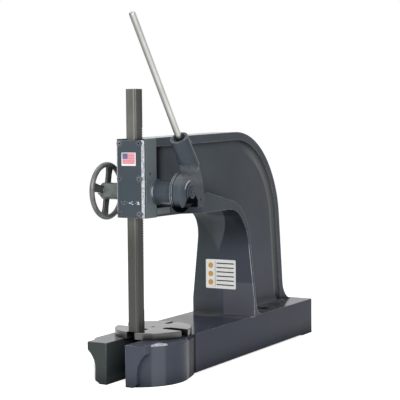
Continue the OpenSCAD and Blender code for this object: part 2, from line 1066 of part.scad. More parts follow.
module handwheel() {
    color("#3d4144")
        at_pinion()
            difference() {
                union() {
                    translate([-wheel_plane, 0, 0])
                        rotate([0, 90, 0])
                            rotate_extrude()
                                translate([wheel_r - wheel_rim_r, 0])
                                    circle(wheel_rim_r);
                    for (a = [0:90:270])
                        rotate([a + spoke_turn, 0, 0])
                            along_x(-wheel_plane - 3.5, 3.5 - wheel_plane)
                                polygon([
                                    [-spoke_wide / 2, 20],
                                    [spoke_wide / 2, 20],
                                    [spoke_wide / 2 - 1, 52],
                                    [spoke_wide / 2 + 3, spoke_end],
                                    [-spoke_wide / 2 - 3, spoke_end],
                                    [1 - spoke_wide / 2, 52]
                                ]);
                    rod_x(hub_far, hub_near, wheel_hub_r);
                }
                rod_x(hub_far - 1, hub_near + 1, wheel_seat_r + fit);
                translate([hub_far - 1, -wheel_key_w / 2 - seat, 0])
                    cube([50, wheel_key_w + 2 * seat, wheel_seat_r + wheel_key_h / 2 + seat]);
            }
}

module handwheel_key() {
    color("#6f7274")
        at_pinion()
            translate([hub_far + 6.5, -wheel_key_w / 2, wheel_seat_r - wheel_key_h / 2])
                cube([38, wheel_key_w, wheel_key_h]);
}

module handwheel_washer() {
    color("#8c8f90")
        at_pinion()
            difference() {
                rod_x(hub_far - 3 - seat, hub_far - seat, 19);
                rod_x(hub_far - 5, hub_far + 1, wheel_seat_r + fit);
            }
}

module handwheel_nut() {
    color("#8c8f90")
        at_pinion()
            difference() {
                translate([hub_far - 15, 0, 0])
                    rotate([0, 90, 0])
                        cylinder(h = 12 - 2 * seat, r = 17, $fn = 6);
                rod_x(hub_far - 20, hub_far, nut_r + seat);
            }
}

// one plate slot running from its round inner end out past the rim
module plate_slot(width, inner) {
    translate([inner + width / 2, 0])
        circle(width / 2);
    translate([inner + width / 2, -width / 2])
        square([plate_r, width]);
}

module table_plate() {
    color("#5a5e62")
        translate([0, plate_back, plate_z])
            rotate([0, 0, plate_turn])
                difference() {
                    rotate_extrude($fn = 180) {
                        square([plate_r - 1.5, plate_thick]);
                        translate([0, 1.5])
                            square([plate_r, plate_thick - 3]);
                        translate([plate_r - 1.5, 1.5])
                            circle(1.5, $fn = 24);
                        translate([plate_r - 1.5, plate_thick - 1.5])
                            circle(1.5, $fn = 24);
                    }
                    translate([0, 0, -1])
                        linear_extrude(plate_thick + 2) {
                            circle(pin_r + fit);
                            rotate(90)
                                plate_slot(slot_rear, 73);
                            plate_slot(slot_right, 42);
                            rotate(180)
                                plate_slot(slot_left, 42);
                            rotate(270)
                                plate_slot(slot_front, 40);
                        }
                }
}

module table_pin() {
    color("#8c8f90")
        translate([0, plate_back, base_height - 44])
            cylinder(h = 44 + plate_thick - 2, r = pin_r);
}

frame_casting();
ram_cap();
cap_screws();
gib();
ram();
ram_lock_screw();
left_bush();
right_bush();
pinion_shaft();
thrust_washer();
ratchet_wheel();
ratchet_key();
lever_head();
cheek_plate();
cheek_screws();
lever_bar();
bar_set_screw();
pawl();
pawl_pin();
pawl_plunger();
end_washer();
end_bolt();
handwheel();
handwheel_key();
handwheel_washer();
handwheel_nut();
table_plate();
table_pin();
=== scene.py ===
"""Looks of the ratchet arbor press: camera, studio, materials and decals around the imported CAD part."""
import json
import math

import bmesh
import bpy
from mathutils import Matrix, Vector


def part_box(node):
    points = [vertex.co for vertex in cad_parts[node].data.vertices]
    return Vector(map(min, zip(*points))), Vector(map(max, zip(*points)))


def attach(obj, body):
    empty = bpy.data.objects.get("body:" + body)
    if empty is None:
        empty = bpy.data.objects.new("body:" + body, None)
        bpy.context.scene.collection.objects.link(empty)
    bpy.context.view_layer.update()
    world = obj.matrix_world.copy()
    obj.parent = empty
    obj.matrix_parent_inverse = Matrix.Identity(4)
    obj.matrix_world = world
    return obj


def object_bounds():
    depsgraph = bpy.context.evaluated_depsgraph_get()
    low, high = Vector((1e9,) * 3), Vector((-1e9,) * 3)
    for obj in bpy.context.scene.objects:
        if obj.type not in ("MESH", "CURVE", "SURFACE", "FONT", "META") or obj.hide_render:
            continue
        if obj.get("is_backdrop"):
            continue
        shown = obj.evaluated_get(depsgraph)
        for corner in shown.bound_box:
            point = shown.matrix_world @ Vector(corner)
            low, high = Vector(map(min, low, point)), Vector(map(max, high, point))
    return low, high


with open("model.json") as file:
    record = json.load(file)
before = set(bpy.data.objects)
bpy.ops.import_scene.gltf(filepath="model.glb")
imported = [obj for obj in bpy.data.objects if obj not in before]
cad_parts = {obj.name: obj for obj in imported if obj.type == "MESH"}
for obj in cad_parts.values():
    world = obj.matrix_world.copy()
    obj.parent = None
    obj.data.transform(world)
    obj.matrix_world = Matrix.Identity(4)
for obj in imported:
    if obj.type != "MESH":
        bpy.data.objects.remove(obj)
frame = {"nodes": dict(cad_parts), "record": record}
SCENE = bpy.context.scene


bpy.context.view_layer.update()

# Places on the frame casting, in metres.
COLUMN_FACE = 0.57
BASE_TOP = 0.13
BACK_CENTRE = (0.591, 0.4235)  # Y and Z of the centre of the rounded back
BACK_LEAN = math.radians(6.4)  # of the straight rear below the rounding
BACK_CHANGE = (0.455, 0.47)  # heights between which the straight goes over into the rounding
COVE_REACH = (0.296, 0.322)  # distances from the centre of the back
BOLT_SHADE = (0.07, 0.75)  # X to either side and Y of the painted shade round a bolt hole

# Zones of the frame casting in metres: lowest corner, highest corner, how softly the sides fade.
FLANGE_CORNER = ((0.075, 0.55, 0.12), (0.14, 0.6, 0.37), 0.02)
REAR_RIM = ((0.03, 0.7, 0.16), (0.06, 1.1, 0.66), 0.03)
BOSS_COLLAR = ((0.056, -0.03, 0.56), (0.07, 0.008, 0.63), 0.006)
COLLAR_GLINT = ((0.065, -0.01, 0.59), (0.067, 0.003, 0.6), (0.0015, 0.006, 0.016))
# Painted reflection pad on the side of the head's lower flange.
REFLECTION_PAD = ((0.046, 0.054, 0.5205), (0.05, 0.128, 0.5385), 0.0015)
LOBE_EDGE = ((0.104, -0.082, 0.1255), (0.138, -0.036, 0.1315), 0.0015)
LOBE_BAND = ((0.108, -0.078, 0.0), (0.13, -0.048, 0.126), 0.009)
LOBE_WAIST = ((0.12, 0.09, 0.0), (0.155, 0.15, 0.126), 0.012)
LEFT_PRONG = ((-0.14, -0.115, 0.12), (-0.03, 0.04, 0.14), 0.008)
BASE_REAR = ((-0.2, 0.5, 0.12), (0.2, 1.1, 0.14), 0.02)
COLUMN_FOOT = ((-0.2, 0.56, 0.13), (0.2, 0.575, 0.24), 0.01)
COLUMN_LEFT = ((-0.2, 0.45, 0.2), (-0.045, 0.575, 0.5), 0.03)
THROAT = ((-0.2, 0.4, 0.2), (0.2, 0.5702, 0.512), 0.001)
HEAD_SIDE = ((0.054, -0.033, 0.5), (0.062, 0.036, 0.78), 0.003)
HEAD_CORNER = ((0.0, 0.0, 0.56), (0.05, 0.085, 0.745), 0.06)
CAP_CHIPS = ((-0.024, -0.06, 0.556), (0.04, -0.03, 0.564), 0.002)

# Places on the ratchet drum and the handwheel, in metres from the shaft's centre line.
FOOT_CENTRE = (0.006, -0.047)  # Y and Z of the open foot
GREASE_SHADE_EDGE = (0.003, 0.0022)  # squared distances from it where the grease and painted shade start and are full
HIGHLIGHT_ARC = (0.00125, 0.00155)  # squared distances of the painted highlight arc on the drum's face
HUB_EDGE = (0.00078, 0.00072)  # the same for the handwheel's bare hub
SPOKE_ROOTS = (0.0062, 0.0058)  # and for the dark inner part of its spokes


def middle(node):
    """Centre of a CAD node's box at rest."""
    low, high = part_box(node)
    return (low + high) / 2


# ---------------------------------------------------------------- node helpers

class Shader:
    """One material's node tree. Object coordinates are metres in the part's own frame."""

    def __init__(self, name):
        self.mat = bpy.data.materials.new(name)
        self.mat.use_nodes = True
        self.tree = self.mat.node_tree
        self.tree.nodes.clear()
        out = self.node("ShaderNodeOutputMaterial")
        self.bsdf = self.node("ShaderNodeBsdfPrincipled")
        self.join(self.bsdf.outputs["BSDF"], out.inputs["Surface"])
        self.coord = self.node("ShaderNodeTexCoord")

    def node(self, kind, **values):
        n = self.tree.nodes.new(kind)
        for key, value in values.items():
            setattr(n, key, value)
        return n

    def join(self, socket, into):
        self.tree.links.new(socket, into)

    def feed(self, name, socket):
        """Drives one input of the surface shader."""
        self.join(socket, self.bsdf.inputs[name])

    def set(self, **values):
        """Sets constant inputs of the surface shader; an underscore stands for a space."""
        for key, value in values.items():
            self.bsdf.inputs[key.replace("_", " ")].default_value = value

    def place(self, scale=(1, 1, 1), shift=(0, 0, 0)):
        """Object coordinates, stretched and shifted."""
        m = self.node("ShaderNodeMapping")
        m.inputs["Scale"].default_value = scale
        m.inputs["Location"].default_value = shift
        self.join(self.coord.outputs["Object"], m.inputs["Vector"])
        return m.outputs["Vector"]

    def noise(self, scale, detail=3.0, rough=0.5, stretch=(1, 1, 1), shift=(0, 0, 0)):
        n = self.node("ShaderNodeTexNoise")
        n.inputs["Scale"].default_value = scale
        n.inputs["Detail"].default_value = detail
        n.inputs["Roughness"].default_value = rough
        self.join(self.place(stretch, shift), n.inputs["Vector"])
        return n.outputs["Fac"]

    def ramp(self, socket, *stops):
        """Colours along a value; each stop is (position, colour)."""
        r = self.node("ShaderNodeValToRGB")
        for item, (position, colour) in zip(r.color_ramp.elements, stops):
            item.position = position
            item.color = (*colour, 1.0)
        self.join(socket, r.inputs["Fac"])
        return r.outputs["Color"]

    def grey(self, socket, low, high, a, b):
        """A grey level that runs from a to b while the value runs from low to high."""
        return self.ramp(socket, (low, (a, a, a)), (high, (b, b, b)))

    def math(self, operation, a, b=None, clamp=False):
        n = self.node("ShaderNodeMath", operation=operation, use_clamp=clamp)
        for i, item in enumerate((a, b)):
            if item is None:
                continue
            if isinstance(item, (int, float)):
                n.inputs[i].default_value = item
            else:
                self.join(item, n.inputs[i])
        return n.outputs[0]

    def chain(self, operation, parts, clamp=False):
        """Joins all parts with one operation; clamp keeps the result between 0 and 1."""
        out = parts[0]
        for part in parts[1:-1]:
            out = self.math(operation, out, part)
        return self.math(operation, out, parts[-1], clamp)

    def times(self, *parts, clamp=False):
        return self.chain("MULTIPLY", parts, clamp)

    def plus(self, *parts):
        return self.chain("ADD", parts)

    def most(self, *parts, clamp=False):
        return self.chain("MAXIMUM", parts, clamp)

    def less(self, a, b):
        return self.math("SUBTRACT", a, b)

    def magnitude(self, socket):
        """The value without its sign."""
        return self.math("ABSOLUTE", socket)

    def square(self, socket):
        return self.math("POWER", socket, 2.0)

    def line(self, socket, gain, offset):
        """The value times gain, plus offset."""
        return self.plus(self.times(socket, gain), offset)

    def mix(self, factor, a, b):
        n = self.node("ShaderNodeMix", data_type="RGBA")
        for socket, item in ((n.inputs[0], factor), (n.inputs[6], a), (n.inputs[7], b)):
            if isinstance(item, tuple):
                socket.default_value = (*item, 1.0)
            else:
                self.join(item, socket)
        return n.outputs[2]

    def tint(self, tone, colour, mask, strength):
        """The tone, painted over with a colour at that strength where the mask is 1."""
        return self.mix(self.times(mask, strength), tone, colour)

    def bump(self, height, strength, distance, normal=None):
        n = self.node("ShaderNodeBump")
        n.inputs["Strength"].default_value = strength
        n.inputs["Distance"].default_value = distance
        self.join(height, n.inputs["Height"])
        if normal is not None:
            self.join(normal, n.inputs["Normal"])
        return n.outputs[0]

    def rounded(self, radius):
        """Softened surface normal, as on a cast or worn edge."""
        n = self.node("ShaderNodeBevel", samples=6)
        n.inputs["Radius"].default_value = radius
        return n.outputs[0]

    def edge(self, radius, gain):
        """Up to 1 on sharp edges, 0 on flats."""
        geo = self.node("ShaderNodeNewGeometry")
        dot = self.node("ShaderNodeVectorMath", operation="DOT_PRODUCT")
        self.join(self.rounded(radius), dot.inputs[0])
        self.join(geo.outputs["Normal"], dot.inputs[1])
        bent = self.math("SUBTRACT", 1.0, dot.outputs["Value"], clamp=True)
        return self.times(bent, gain, clamp=True)

    def open_air(self, distance):
        """1 where the surface stands free, 0 deep in a corner."""
        n = self.node("ShaderNodeAmbientOcclusion", samples=8)
        n.inputs["Distance"].default_value = distance
        return n.outputs["AO"]

    def axes(self, kind="Object"):
        """The three coordinates, or the three parts of the normal, as sockets."""
        n = self.node("ShaderNodeSeparateXYZ")
        self.join(self.coord.outputs[kind], n.inputs["Vector"])
        return n.outputs[0], n.outputs[1], n.outputs[2]

    def step(self, socket, a, b):
        """Smooth rise from 0 at a to 1 at b."""
        n = self.node("ShaderNodeMapRange", interpolation_type="SMOOTHSTEP")
        self.join(socket, n.inputs["Value"])
        n.inputs["From Min"].default_value = a
        n.inputs["From Max"].default_value = b
        return n.outputs["Result"]

    def span(self, socket, low, high, soft):
        """1 between low and high, fading out over soft."""
        return self.times(self.step(socket, low - soft, low), self.step(socket, high + soft, high))

    def zone(self, low, high, soft):
        """1 inside a box; soft is how far its sides fade, one length for all axes or one for each."""
        fades = soft if isinstance(soft, tuple) else (soft, soft, soft)
        return self.times(*map(self.span, self.axes(), low, high, fades))


# ---------------------------------------------------------------- painted castings

def paint_tone(s):
    """Charcoal paint: bluer low down, greyer high up, greenish on the left prong, painted shade down the
    base behind its front.
    """
    x, y, z = s.axes()
    cloud = s.noise(4.5, 3, 0.5)
    blue = s.ramp(cloud, (0.3, (0.042, 0.048, 0.066)), (0.7, (0.053, 0.06, 0.081)))
    grey = s.ramp(cloud, (0.3, (0.038, 0.047, 0.057)), (0.7, (0.051, 0.063, 0.076)))
    tone = s.mix(s.step(z, 0.15, 0.6), blue, grey)
    left = s.times(s.step(x, 0.0, -0.05), s.step(z, 0.2, 0.14))
    tone = s.mix(left, tone, (0.038, 0.047, 0.044))
    # Painted shade on the base below its top, behind the front lobe.
    base_shade = s.times(s.step(y, 0.08, 0.2), s.step(z, BASE_TOP + 0.005, BASE_TOP - 0.005))
    return s.tint(tone, (0.022, 0.028, 0.046), base_shade, 0.9)


def enamel(name, rounding=0.007, edge_brightening=1.0, extra=None, depth=0.09):
    """Gloss enamel over a casting: painted shade in its corners, outer edges worn bright and painted with
    highlight.

    rounding softens the edges; the gain after it scales the edges worn bright and painted with highlight;
    depth is how far the painted corner shade reaches.
    extra(shader, edges, tone, grain) takes the worn and highlighted edges, adds a piece's own marks and
    returns the new edges and tone.
    """
    s = Shader(name)
    tone = paint_tone(s)
    # Painted shade: the colour darkens towards near black deep in corners and recesses.
    free = s.open_air(depth)
    shade = s.line(s.step(free, 0.2, 0.95), 0.8, 0.2)
    tone = s.mix(shade, (0.004, 0.005, 0.006), tone)
    grain = s.step(s.noise(130, 4, 0.65), 0.42, 0.6)
    patch = s.step(s.noise(9, 3, 0.6, shift=(3.1, 0.4, 7.7)), 0.4, 0.62)
    # Edges worn bright, which also serve as painted highlight along them.
    rub_and_sheen = s.times(s.edge(0.0034, 7.0), s.step(free, 0.74, 0.95))
    rub_and_sheen = s.times(rub_and_sheen, s.line(grain, 0.6, 0.4), s.line(patch, 0.65, 0.35), edge_brightening)
    if extra is not None:
        rub_and_sheen, tone = extra(s, rub_and_sheen, tone, grain)
    # Pale grey on the edges and marks: bare metal where worn, and painted highlight.
    s.feed("Base Color", s.mix(rub_and_sheen, tone, (0.55, 0.57, 0.6)))
    gloss = s.grey(s.noise(24, 3, 0.55), 0.3, 0.75, 0.11, 0.19)
    s.feed("Roughness", s.mix(rub_and_sheen, gloss, (0.35, 0.35, 0.35)))
    skin = s.bump(s.noise(48, 4, 0.55), 0.2, 0.0005, s.rounded(rounding))
    s.feed("Normal", s.bump(s.noise(8, 2, 0.5), 0.3, 0.004, skin))
    # Gloss fades where the colour is dark: in the painted shade, the grease and the dark patch.
    bright_tone = s.step(tone, 0.004, 0.03)
    s.feed("Specular IOR Level", s.times(shade, bright_tone, 0.5))
    s.set(IOR=1.16)
    return s.mat


def rear_reach(s):
    """Distance from the centre of the frame's rounded back, carried straight down along the rear rim."""
    y, z = s.axes()[1:]
    dy, dz = s.less(y, BACK_CENTRE[0]), s.less(z, BACK_CENTRE[1])
    around = s.math("POWER", s.plus(s.square(dy), s.square(dz)), 0.5)
    down = s.plus(s.times(dy, math.cos(BACK_LEAN)), s.times(dz, math.sin(BACK_LEAN)))
    upper = s.step(z, *BACK_CHANGE)
    return s.plus(s.times(around, upper), s.times(down, s.less(1.0, upper)))


def frame_wear_and_sheen(s, rub_and_sheen, grain):
    """Edges worn bright and painted with highlight on the flange corner, rear rim and boss collar; a painted
    reflection pad, a painted highlight strip on the lobe's top edge and a painted glint on the collar.
    """
    # Flange corner, rear rim and boss collar: edges worn bright and painted with highlight.
    rim = s.times(s.zone(*REAR_RIM), 0.55)
    worn_and_sheen_zones = s.most(s.zone(*FLANGE_CORNER), rim, s.zone(*BOSS_COLLAR), 0.18)
    rub_and_sheen = s.times(rub_and_sheen, worn_and_sheen_zones, 2.6, clamp=True)
    # Painted reflection on the side of the head's lower flange.
    pad = s.times(s.zone(*REFLECTION_PAD), 0.2)
    # Painted highlight strip along the lobe's top edge.
    strip = s.times(s.zone(*LOBE_EDGE), s.line(grain, 0.5, 0.4))
    # Painted glint on the boss collar.
    glint = s.times(s.zone(*COLLAR_GLINT), 0.4)
    return s.most(rub_and_sheen, pad, strip, glint, clamp=True)


def base_tones(s, tone):
    """Painted reflection, mottled, on the top of the base's rear and on the left prong's top; a painted
    highlight band on the lobe and painted shade on its waist.
    """
    up = s.step(s.axes("Normal")[2], 0.8, 0.98)
    # Painted reflection, mottled, on the upward faces at the base's rear.
    top_reflection = s.times(up, s.zone(*BASE_REAR), s.step(s.noise(14, 4, 0.5), 0.1, 0.8))
    tone = s.tint(tone, (0.15, 0.15, 0.15), top_reflection, 0.6)
    # Painted highlight band down the lobe.
    tone = s.tint(tone, (0.1, 0.107, 0.125), s.zone(*LOBE_BAND), 0.45)
    # Painted shade on the lobe's waist, where it turns into the base side.
    tone = s.tint(tone, (0.006, 0.008, 0.014), s.zone(*LOBE_WAIST), 0.85)
    # Painted reflection on the top of the left prong.
    return s.tint(tone, (0.16, 0.165, 0.165), s.times(s.zone(*LEFT_PRONG), up), 0.8)


def column_tones(s, tone):
    """Painted light on the column foot, stronger on its right half; a painted shadow and a painted lit facet
    under the arch; a greener left edge.
    """
    x, _, z = s.axes()
    # Painted light on the column foot, stronger on its right half.
    right_half = s.line(s.step(x, -0.002, 0.002), 0.55, 0.3)
    tone = s.tint(tone, (0.085, 0.09, 0.105), s.zone(*COLUMN_FOOT), right_half)
    facing = s.step(s.magnitude(s.axes("Normal")[0]), 0.5, 0.3)
    throat = s.times(s.zone(*THROAT), facing)
    split = s.less(x, s.line(z, 0.35, -0.14))
    # Painted shadow under the arch, right of the split line.
    dark = s.times(s.step(split, -0.003, 0.003), s.step(z, 0.33, 0.44), throat)
    tone = s.tint(tone, (0.012, 0.015, 0.02), dark, 0.8)
    # Painted light: a pale facet under the arch, left of the split line.
    above = s.step(s.plus(split, s.times(z, 0.9)), 0.31, 0.325)
    pale = s.times(s.step(split, 0.0, -0.004), above, throat)
    tone = s.tint(tone, (0.085, 0.095, 0.105), pale, 0.75)
    return s.tint(tone, (0.042, 0.055, 0.052), s.zone(*COLUMN_LEFT), 0.5)


def cove_light_band(s):
    """Mask of painted light on the cove between the web and the rear rim, on the lever side."""
    x, y, z = s.axes()
    band = s.times(s.span(rear_reach(s), *COVE_REACH, 0.008), s.span(x, 0.025, 0.047, 0.003))
    return s.times(band, s.step(z, 0.14, 0.18), s.step(y, 0.64, 0.78))


def frame_shade_and_dark_patch(s):
    """Mask of painted shade in the corner behind the head and in ragged rings at the bolt holes, and of a
    dark patch at the lock screw's socket.
    """
    x, y, z = s.axes()
    # Painted shade in the corner behind the head.
    corner = s.times(s.zone(*HEAD_CORNER), s.step(x, 0.05, 0.036))
    sideways, base_shade = s.less(s.magnitude(x), BOLT_SHADE[0]), s.less(y, BOLT_SHADE[1])
    # Painted shade in ragged rings round the bolt holes.
    ring = s.plus(s.square(sideways), s.square(base_shade), s.times(s.noise(45, 3, 0.6), 0.0012))
    hole = s.times(s.step(ring, 0.0018, 0.0008), s.step(z, BASE_TOP + 0.02, BASE_TOP + 0.005))
    # A dark patch at the lock screw's socket.
    screw, half = middle("ram_lock_screw"), 0.003
    low = (0.05, screw.y - half, screw.z - half)
    high = (0.07, screw.y + half, screw.z + half)
    socket = s.zone(low, high, 0.002)
    return s.most(s.times(corner, 0.9), s.times(s.most(hole, socket), 0.85))


def frame_marks(s, rub_and_sheen, tone, grain):
    """The frame casting's own wear, tones, painted light and shade, and a dark patch at the lock screw."""
    rub_and_sheen = frame_wear_and_sheen(s, rub_and_sheen, grain)
    tone = column_tones(s, base_tones(s, tone))
    # Painted light: the head's side lighter than the web behind it.
    tone = s.tint(tone, (0.125, 0.148, 0.158), s.zone(*HEAD_SIDE), 0.75)
    # Painted light on the cove between the web and the rear rim.
    tone = s.tint(tone, (0.14, 0.145, 0.145), cove_light_band(s), 0.7)
    # Near black where the painted shade and the dark patch lie.
    return rub_and_sheen, s.mix(frame_shade_and_dark_patch(s), tone, (0.003, 0.004, 0.006))


def cap_marks(s, rub_and_sheen, tone, grain):
    """Upright bevels worn bright and painted with highlight, and a row of small chips, on the front cap."""
    nx, ny = s.axes("Normal")[:2]
    # Upright bevels: worn bright and painted with highlight.
    bevel = s.step(s.times(s.magnitude(nx), s.magnitude(ny)), 0.3, 0.45)
    rub_and_sheen = s.most(s.times(rub_and_sheen, 0.5), s.times(bevel, s.line(grain, 0.4, 0.45)), clamp=True)
    chips = s.step(s.noise(190, 1, 0.5), 0.55, 0.62)
    return s.most(rub_and_sheen, s.times(chips, s.zone(*CAP_CHIPS)), clamp=True), tone


def around(s, node):
    """X, the offsets in Y and Z from the node's own centre line along X, and their squared distance."""
    x, y, z = s.axes()
    mid = middle(node)
    dy, dz = s.less(y, mid.y), s.less(z, mid.z)
    return x, dy, dz, s.plus(s.square(dy), s.square(dz))


def lever_marks(s, rub_and_sheen, tone, grain):
    """Edges worn and painted with highlight, and a painted highlight arc, on the ratchet drum; worn socket
    rim, pale arm, black grease and painted shade in and around the open foot.
    """
    x, dy, dz, away = around(s, "ratchet_wheel")
    rear = s.times(s.step(dz, 0.07, 0.09), s.step(dy, -0.01, 0.01))
    socket = s.most(s.step(dz, 0.12, 0.14), rear)
    # The drum's left edges: worn bright and painted with highlight.
    front = s.times(s.step(dy, -0.012, -0.03), s.step(dz, -0.045, -0.02))
    front = s.times(front, s.step(away, 0.0025, 0.0029), s.step(x, 0.165, 0.155))
    place = s.most(s.times(socket, 0.6), s.times(front, 2.0), 0.06)
    rub_and_sheen = s.times(rub_and_sheen, place, clamp=True)
    # Painted highlight arc on the drum's face.
    arc = s.times(s.span(away, *HIGHLIGHT_ARC, 0.0001), s.step(x, 0.178, 0.181))
    arc = s.times(arc, s.step(dz, 0.008, 0.014), s.step(dy, -0.002, -0.008))
    rub_and_sheen = s.most(rub_and_sheen, s.times(arc, s.line(grain, 0.4, 0.3)), clamp=True)
    # Black grease and painted shade, ragged, round the open foot.
    foot = s.plus(s.square(s.less(dy, FOOT_CENTRE[0])), s.square(s.less(dz, FOOT_CENTRE[1])))
    ragged = s.plus(foot, s.times(s.noise(60, 3, 0.6), 0.0014))
    grease_and_shade = s.times(s.step(ragged, *GREASE_SHADE_EDGE), 0.97)
    # Black grease and painted shade inside the drum at the open foot.
    inside = s.times(s.step(x, 0.1735, 0.172), s.step(dz, -0.02, -0.045))
    grease_and_shade = s.most(grease_and_shade, inside, clamp=True)
    tone = s.tint(tone, (0.1, 0.108, 0.118), s.span(dz, 0.035, 0.07, 0.02), 0.6)
    return s.times(rub_and_sheen, s.less(1.0, grease_and_shade)), s.mix(grease_and_shade, tone, (0.002, 0.0025, 0.0035))


# ---------------------------------------------------------------- metals and print

def ram_steel():
    """Square bar: ground front face with painted reflection bands, painted shade on the flanks, brushed
    along its length.
    """
    s = Shader("ram_steel")
    x, y, z = s.axes()
    nx, ny = s.axes("Normal")[:2]
    streak = s.noise(60, 3, 0.6, stretch=(6, 6, 0.12))
    film = s.noise(5, 3, 0.6, stretch=(1.5, 1.5, 0.8))
    tone = s.ramp(streak, (0.25, (0.11, 0.112, 0.103)), (0.75, (0.185, 0.187, 0.174)))
    tone = s.tint(tone, (0.075, 0.073, 0.066), s.step(film, 0.35, 0.7), 0.45)
    flank = s.step(s.magnitude(nx), 0.6, 0.95)
    face = s.step(ny, -0.6, -0.95)
    # Painted reflection on the front face: a bright band and, right of it, a dark stripe.
    band = s.times(face, s.span(x, 0.0095, 0.0115, 0.0015))
    tone = s.tint(tone, (0.34, 0.34, 0.32), band, 0.6)
    right_edge = s.times(face, s.step(x, 0.0125, 0.0145))
    tone = s.tint(tone, (0.05, 0.05, 0.046), right_edge, 0.45)
    # Painted shade on the flanks, more on their rear part.
    tone = s.tint(tone, (0.022, 0.023, 0.021), flank, 0.66)
    rear = s.times(flank, s.step(y, -0.002, 0.006))
    tone = s.tint(tone, (0.02, 0.02, 0.019), rear, 0.4)
    # Darker towards the bottom.
    tone = s.tint(tone, (0.024, 0.024, 0.022), s.step(z, 0.6, 0.4), 0.68)
    # Edges worn bright and painted with highlight.
    s.feed("Base Color", s.tint(tone, (0.3, 0.3, 0.29), s.edge(0.0012, 5.0), 0.4))
    s.feed("Roughness", s.grey(streak, 0.2, 0.8, 0.26, 0.42))
    s.feed("Normal", s.bump(streak, 0.1, 0.0005, s.rounded(0.0012)))
    s.set(Metallic=0.8, Specular_IOR_Level=0.4)
    return s.mat


def plated_steel(name, colour, rough=0.3, scale=220, contrast=0.8, stretch=(1, 1, 1), side_shade=None):
    """Plated or polished metal with faint scratches and dents; the last argument is the tone of the painted
    shade on its front left side.
    """
    s = Shader(name)
    dark = tuple(c * contrast for c in colour)
    tone = s.ramp(s.noise(scale * 0.25, 3, 0.55, stretch=stretch), (0.3, dark), (0.68, colour))
    # Painted shade: the front left side takes the given darker tone.
    if side_shade is not None:
        nx, ny = s.axes("Normal")[:2]
        turned = s.plus(s.times(nx, 0.87), s.times(ny, 0.5))
        tone = s.mix(s.step(turned, 0.55, -0.55), tone, side_shade)
    s.feed("Base Color", tone)
    s.feed("Roughness", s.grey(s.noise(scale, 3, 0.6), 0.3, 0.7, rough * 0.85, rough * 1.2))
    s.feed("Normal", s.bump(s.noise(scale * 2, 3, 0.6), 0.08, 0.0003, s.rounded(0.0008)))
    s.set(Metallic=1.0)
    return s.mat


def wheel_iron():
    """Satin enamel on the cast handwheel: dark spokes, a bare turned hub, painted shade in its corners,
    edges worn and painted with highlight.
    """
    s = Shader("wheel_iron")
    tone = s.ramp(s.noise(30, 4, 0.6), (0.3, (0.06, 0.062, 0.062)), (0.7, (0.13, 0.133, 0.133)))
    # Painted shade in the wheel's corners.
    tone = s.mix(s.step(s.open_air(0.05), 0.2, 0.95), (0.01, 0.01, 0.01), tone)
    x, _, _, away = around(s, "handwheel")
    hub = s.times(s.step(away, *HUB_EDGE), s.step(x, -0.127, -0.125))
    spokes = s.times(s.step(away, *SPOKE_ROOTS), s.less(1.0, hub))
    tone = s.tint(tone, (0.02, 0.021, 0.02), spokes, 0.7)
    tone = s.mix(hub, tone, (0.1, 0.118, 0.112))
    # Edges paler: worn bright and painted with highlight.
    s.feed("Base Color", s.mix(s.edge(0.002, 3.0), tone, (0.2, 0.2, 0.2)))
    s.feed("Roughness", s.grey(s.noise(90, 3, 0.6), 0.3, 0.7, 0.22, 0.38))
    s.feed("Normal", s.bump(s.noise(160, 4, 0.6), 0.2, 0.0006, s.rounded(0.003)))
    s.set(Specular_IOR_Level=0.5)
    return s.mat


def plate_iron():
    """Machined table plate: turned rings on the face, darker rim, painted shade in the slots, edges worn and
    painted with highlight.
    """
    s = Shader("plate_iron")
    mid = middle("table_plate")
    rings = s.node("ShaderNodeTexWave", wave_type="RINGS", rings_direction="Z")
    rings.inputs["Scale"].default_value = 140
    rings.inputs["Distortion"].default_value = 1.2
    rings.inputs["Detail"].default_value = 2
    s.join(s.place(shift=(-mid.x, -mid.y, 0)), rings.inputs["Vector"])
    cloud = s.noise(18, 4, 0.6)
    tone = s.ramp(cloud, (0.3, (0.1, 0.1, 0.1)), (0.7, (0.17, 0.17, 0.165)))
    rim = s.step(s.axes("Normal")[2], 0.7, 0.3)
    tone = s.tint(tone, (0.06, 0.06, 0.058), rim, 0.6)
    # Painted shade in the slots and corners.
    tone = s.mix(s.step(s.open_air(0.05), 0.8, 0.45), tone, (0.006, 0.006, 0.006))
    # Edges paler: worn bright and painted with highlight.
    s.feed("Base Color", s.tint(tone, (0.4, 0.4, 0.4), s.edge(0.0015, 5.0), 0.6))
    s.feed("Roughness", s.grey(cloud, 0.25, 0.75, 0.16, 0.3))
    s.feed("Normal", s.bump(rings.outputs["Fac"], 0.05, 0.0003, s.rounded(0.0015)))
    s.set(Metallic=0.7)
    return s.mat


def flat_print(name, colour):
    """Printed vinyl: a soft sheen over slightly uneven ink."""
    s = Shader(name)
    dim = tuple(c * 0.9 for c in colour)
    s.feed("Base Color", s.ramp(s.noise(90, 3, 0.6), (0.25, dim), (0.7, colour)))
    s.feed("Normal", s.bump(s.noise(400, 2, 0.5), 0.05, 0.0002))
    s.set(Roughness=0.32, Specular_IOR_Level=0.3)
    return s.mat


